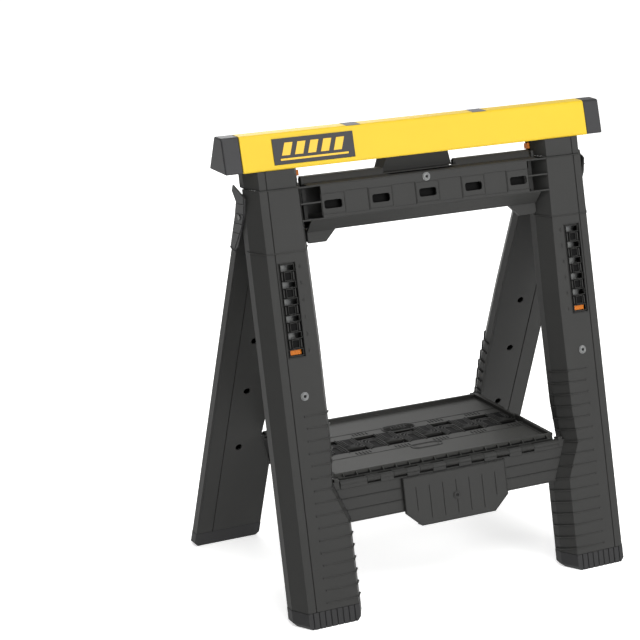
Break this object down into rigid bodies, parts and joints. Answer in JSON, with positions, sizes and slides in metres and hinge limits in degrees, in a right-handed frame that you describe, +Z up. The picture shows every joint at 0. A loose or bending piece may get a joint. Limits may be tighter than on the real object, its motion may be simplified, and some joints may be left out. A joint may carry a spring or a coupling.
{
  "type": "folding_adjustable_sawhorse",
  "caption": "Folding sawhorse of dark moulded plastic with a yellow height-adjustable beam, two leaning leg frames and a two-leaf tray",
  "frame": {"origin": "middle of the stance on the ground, under the middle of the object's width and depth", "axes": "+X along the beam to the right, +Y to the rear frame, +Z up; -Y faces the side with the height ladders"},
  "size_m": [0.686, 0.432, 0.738],
  "materials": {
    "graphite_plastic": "finely textured, semi-matte",
    "yellow_plastic": "finely textured, satin",
    "orange_plastic": "satin",
    "zinc_steel": "zinc-plated, dull",
    "dark_plastic": "semi-matte"
  },
  "bodies": {
    "front_frame": {"front_leg_left": "graphite_plastic", "front_leg_right": "graphite_plastic", "front_leg_cover_left": "graphite_plastic", "front_leg_cover_right": "graphite_plastic", "front_foot_left": "dark_plastic", "front_foot_right": "dark_plastic", "front_crossbar": "graphite_plastic", "crossbar_screw": "zinc_steel", "front_apron": "graphite_plastic", "apron_handle": "graphite_plastic", "handle_screw": "zinc_steel", "front_tray_pin": "zinc_steel", "leg_screw_left": "zinc_steel", "leg_screw_right": "zinc_steel", "post_guide_left": "dark_plastic", "post_guide_right": "dark_plastic"},
    "rear_frame": {"rear_leg_left": "graphite_plastic", "rear_leg_right": "graphite_plastic", "rear_leg_cover_left": "graphite_plastic", "rear_leg_cover_right": "graphite_plastic", "rear_foot_left": "dark_plastic", "rear_foot_right": "dark_plastic", "rear_crossbar": "graphite_plastic", "rear_apron": "graphite_plastic", "rear_tray_pin": "zinc_steel", "hinge_cheek_outer_left": "dark_plastic", "hinge_cheek_outer_right": "dark_plastic", "hinge_cheek_inner_left": "dark_plastic", "hinge_cheek_inner_right": "dark_plastic", "hinge_pin_left": "zinc_steel", "hinge_pin_right": "zinc_steel"},
    "front_tray": {"front_tray": "graphite_plastic"},
    "rear_tray": {"rear_tray": "graphite_plastic"},
    "beam": {"beam": "yellow_plastic", "end_cap_left": "dark_plastic", "end_cap_right": "dark_plastic", "top_pad_left": "dark_plastic", "top_pad_right": "dark_plastic", "marker_plate": "dark_plastic", "beam_block": "graphite_plastic", "shoulder_left": "graphite_plastic", "shoulder_right": "graphite_plastic", "post_left": "zinc_steel", "post_right": "zinc_steel", "post_shoe_left": "dark_plastic", "post_shoe_right": "dark_plastic", "trigger_spring_left": "zinc_steel", "trigger_spring_right": "zinc_steel"},
    "trigger_left": {"trigger_left": "orange_plastic", "trigger_rod_left": "zinc_steel"},
    "trigger_right": {"trigger_right": "orange_plastic", "trigger_rod_right": "zinc_steel"},
    "pawl_left": {"pawl_left": "orange_plastic"},
    "pawl_right": {"pawl_right": "orange_plastic"}
  },
  "joints": [
    {"name": "frame_fold", "type": "hinge", "parent": "front_frame", "child": "rear_frame", "pos_m": [0, -0.0187, 0.61228], "axis": [-1, 0, 0], "range_deg": [0, 31.4]},
    {"name": "front_tray_fold", "type": "hinge", "parent": "front_frame", "child": "front_tray", "pos_m": [0, -0.1415, 0.2], "axis": [1, 0, 0], "range_deg": [0, 78.2]},
    {"name": "rear_tray_fold", "type": "hinge", "parent": "rear_frame", "child": "rear_tray", "pos_m": [0, 0.1205, 0.2], "axis": [-1, 0, 0], "range_deg": [0, 76.2]},
    {"name": "beam_slide", "type": "slide", "parent": "front_frame", "child": "beam", "axis": [0, 0.2444, 0.9697], "range_m": [0, 0.13]},
    {"name": "trigger_left_slide", "type": "slide", "parent": "beam", "child": "trigger_left", "axis": [0, 0.2444, 0.9697], "range_m": [0, 0.006], "stiffness_N_per_m": 500, "springref_m": -0.004},
    {"name": "trigger_right_slide", "type": "slide", "parent": "beam", "child": "trigger_right", "axis": [0, 0.2444, 0.9697], "range_m": [0, 0.006], "stiffness_N_per_m": 500, "springref_m": -0.004},
    {"name": "pawl_left_slide", "type": "slide", "parent": "beam", "child": "pawl_left", "axis": [0, 0.9697, -0.2444], "range_m": [0, 0.00401]},
    {"name": "pawl_right_slide", "type": "slide", "parent": "beam", "child": "pawl_right", "axis": [0, 0.9697, -0.2444], "range_m": [0, 0.00401]}
  ],
  "couplings": [
    {"joint": "front_tray_fold", "follows": "frame_fold", "ratio": 2.4841},
    {"joint": "rear_tray_fold", "follows": "frame_fold", "ratio": 2.4204},
    {"joint": "pawl_left_slide", "follows": "trigger_left_slide", "ratio": 0.6667},
    {"joint": "pawl_right_slide", "follows": "trigger_right_slide", "ratio": 0.6667}
  ]
}
